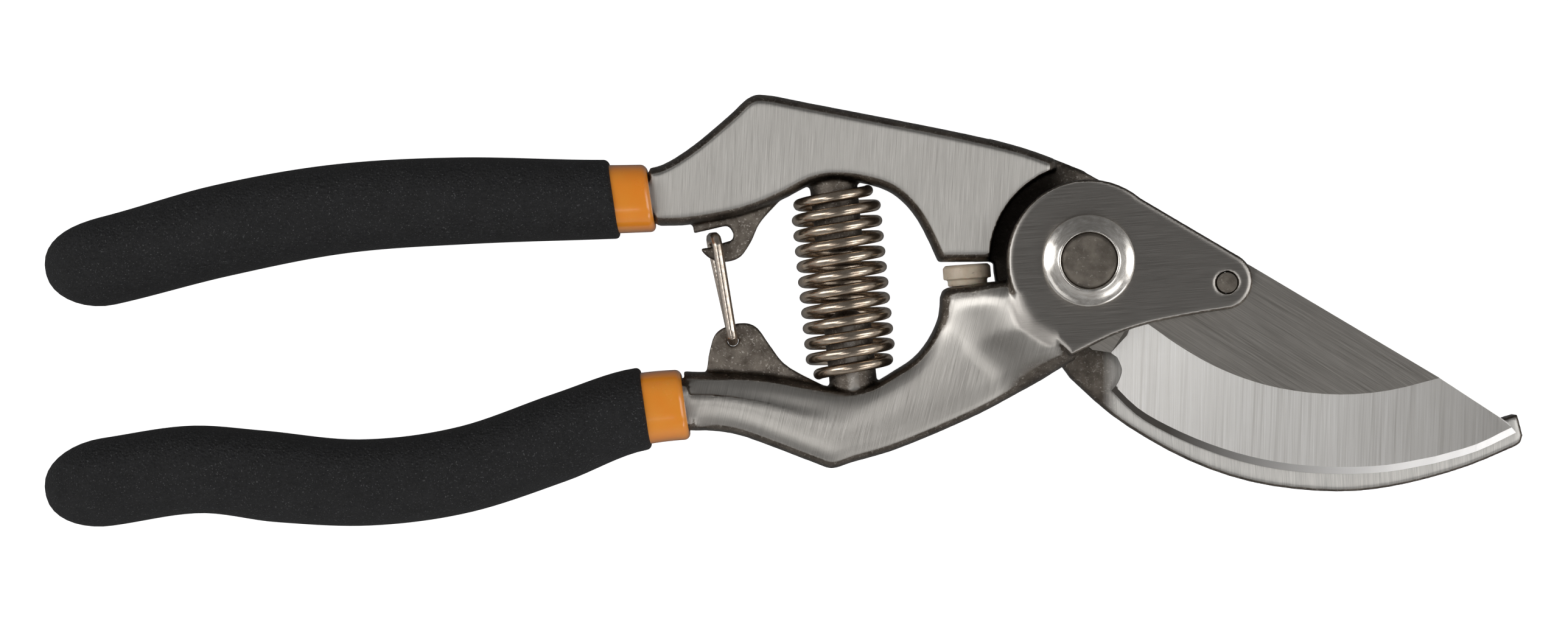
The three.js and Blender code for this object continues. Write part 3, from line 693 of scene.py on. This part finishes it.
def grips():
    for side, body, line, grip_end, sleeve_end in (
        ("hook_side", HOOK_SIDE, HOOK_SIDE_LINE, -68.7, -63.3),
        ("blade_side", BLADE_SIDE, BLADE_SIDE_LINE, -64.1, -58.3),
    ):
        skin = grip(f"{side}_foam_grip", line, grip_end)
        dress(skin, f"{side}_grip", body, looks["grip"])
        collar = sleeve(f"{side}_orange_dip", line, grip_end - 4.5, sleeve_end)
        dress(collar, f"{side}_sleeve", body, looks["orange"])


SPRING_TOP = Vector((-36.6, 9.9, MID_Z)) * MM
SPRING_FOOT = Vector((-34.0, -16.0, MID_Z)) * MM
SPRING_TURNS = 11.5
SPRING_R = 5.8 * MM
SPRING_END_R = 4.9 * MM
WIRE_R = 0.8 * MM


def spring():
    axis = SPRING_FOOT - SPRING_TOP
    side = Vector((-axis.y, axis.x, 0)).normalized()
    steps = round(SPRING_TURNS * 36)
    points = []
    for i in range(steps + 1):
        share = i / steps
        near_end = min(1, min(share, 1 - share) * SPRING_TURNS)
        ease = near_end * near_end * (3 - 2 * near_end)
        radius = SPRING_END_R + (SPRING_R - SPRING_END_R) * ease
        angle = share * SPRING_TURNS * 2 * math.pi
        point = SPRING_TOP + axis * share + side * (radius * math.cos(angle))
        point.z += radius * math.sin(angle)
        points.append(point)
    piece = skinned("return_coil", wire_rings(points, WIRE_R, 20))
    shade(piece, 50)
    piece.data.materials.append(looks["spring"])
    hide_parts("return_spring")
    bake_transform(piece)


NUT_FOOT = 16.75
NUT_PROFILE = (
    (4.03, 0), (6.5, 0), (6.62, 0.1), (6.64, 0.3), (6.64, 0.75), (6.6, 0.9), (6.5, 1), (6.3, 1.08),
    (6, 1.17), (5.6, 1.33), (5.2, 1.57), (4.8, 1.88), (4.6, 2.06), (4.42, 2.18), (4.25, 2.2), (4.1, 2.12),
    (4.03, 1.98), (4.03, 0),
)


def fasteners():
    profile = [(radius * MM, (NUT_FOOT + height) * MM) for radius, height in NUT_PROFILE]
    nut = revolved("round_nut", profile, 128)
    shade(nut, 50)
    dress(nut, "pivot_nut", BLADE_SIDE, looks["turned"])
    for node, voxel, smoothing in (("pivot_bolt", 0.2, 2), ("blade_pin", 0.1, 2)):
        piece = refined(f"{node}_fine", node, voxel * MM, smoothing)
        dress(piece, node, BLADE_SIDE, looks["bolt"])


def small_parts():
    for node, body, slot, look in (
        ("wire_catch", CATCH, "plated_wire", "wire"),
        ("closing_bumper", BLADE_SIDE, "cream_rubber", "bumper"),
    ):
        piece = refined(f"{node}_fine", node, 0.14 * MM, 5)
        dress(piece, node, body, looks[look])
    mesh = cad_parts["cutting_blade"].data.copy()
    blade = new_object("bypass_blade", mesh)
    work = bmesh.new()
    work.from_mesh(mesh)
    bmesh.ops.remove_doubles(work, verts=work.verts, dist=0.004 * MM)
    work.to_mesh(mesh)
    work.free()
    shade(blade, 6)
    dress(blade, "cutting_blade", BLADE_SIDE, looks["blade"])


looks = {
    "grip": grip_look(),
    "orange": orange_look(),
    "wire": wire_look(),
    "spring": spring_look(),
    "bumper": bumper_look(),
    "bolt": bolt_look(),
    "turned": turned_look(),
    "blade": blade_look(),
}
handles()
grips()
spring()
fasteners()
small_parts()


# ---------- studio ----------
OVERHEAD_LIGHT = 0.1
HORIZON_LIGHT = 0.42
SOFTBOXES = (
    ("left_box", (-0.7, 0.1, 0.66), (0.4, 0.7), 2.8),
    ("right_box", (0.62, 0.0, 0.68), (0.4, 0.7), 2.1),
    ("low_right_box", (0.6, -0.65, 0.5), (0.5, 0.35), 1.3),
    ("high_left_box", (-0.28, -0.3, 0.85), (0.35, 0.3), 0.6),
)


def studio():
    floor_mesh = bpy.data.meshes.new("floor")
    reach = 3.0
    floor_z = -0.3 * MM
    corners = [(x * reach, y * reach, floor_z) for x, y in ((-1, -1), (1, -1), (1, 1), (-1, 1))]
    floor_mesh.from_pydata(corners, [], [(0, 1, 2, 3)])
    floor = new_object("floor", floor_mesh)
    look = Look("pale_floor")
    look.set(base_color=(0.5, 0.5, 0.5, 1), roughness=0.9)
    look.shader.inputs["Emission Color"].default_value = (1, 1, 1, 1)
    look.shader.inputs["Emission Strength"].default_value = 0.97
    floor.data.materials.append(look.material)
    floor.visible_glossy = False
    floor.visible_diffuse = False

    world = bpy.data.worlds.new("studio")
    world.use_nodes = True
    tree = world.node_tree
    direction = tree.nodes.new("ShaderNodeSeparateXYZ")
    tree.links.new(tree.nodes.new("ShaderNodeTexCoord").outputs["Generated"], direction.inputs[0])

    def calculated(operation, *values):
        node = tree.nodes.new("ShaderNodeMath")
        node.operation = operation
        for socket, value in zip(node.inputs, values):
            if isinstance(value, bpy.types.NodeSocket):
                tree.links.new(value, socket)
            else:
                socket.default_value = value
        return node.outputs[0]

    low = calculated("SUBTRACT", 1.0, calculated("ABSOLUTE", direction.outputs["Z"]))
    shade_side = calculated("MAXIMUM", direction.outputs["Y"], 0.0)
    lit_side = calculated("SUBTRACT", 1.0, calculated("MULTIPLY", shade_side, 0.9))
    horizon = calculated("MULTIPLY", low, lit_side)
    strength = calculated("ADD", OVERHEAD_LIGHT, calculated("MULTIPLY", horizon, HORIZON_LIGHT))
    background = tree.nodes["Background"]
    background.inputs["Color"].default_value = (1, 1, 1, 1)
    tree.links.new(strength, background.inputs["Strength"])
    bpy.context.scene.world = world

    def softbox(name, place, size, power):
        data = bpy.data.lights.new(name, "AREA")
        data.shape = "RECTANGLE"
        data.size, data.size_y = size
        data.energy = power
        lamp = bpy.data.objects.new(name, data)
        lamp.location = place
        target = Vector((-0.04, -0.005, 0))
        lamp.rotation_euler = (target - Vector(place)).to_track_quat("-Z", "Y").to_euler()
        bpy.context.scene.collection.objects.link(lamp)

    for box in SOFTBOXES:
        softbox(*box)


CAMERA_HEIGHT = 0.70
VIEW_WIDTH = 228.5 * MM  # what the picture spans at the level of the handles
HANDLE_LEVEL = 10 * MM


def camera():
    data = bpy.data.cameras.new("camera")
    data.sensor_width = 36
    data.lens = data.sensor_width * (CAMERA_HEIGHT - HANDLE_LEVEL) / VIEW_WIDTH
    eye = bpy.data.objects.new("camera", data)
    low, high = cad_box
    eye.location = ((low[0] + high[0]) / 2, (low[1] + high[1]) / 2, CAMERA_HEIGHT)
    bpy.context.scene.collection.objects.link(eye)
    bpy.context.scene.camera = eye


studio()
camera()
bpy.context.scene.view_settings.view_transform = "Standard"
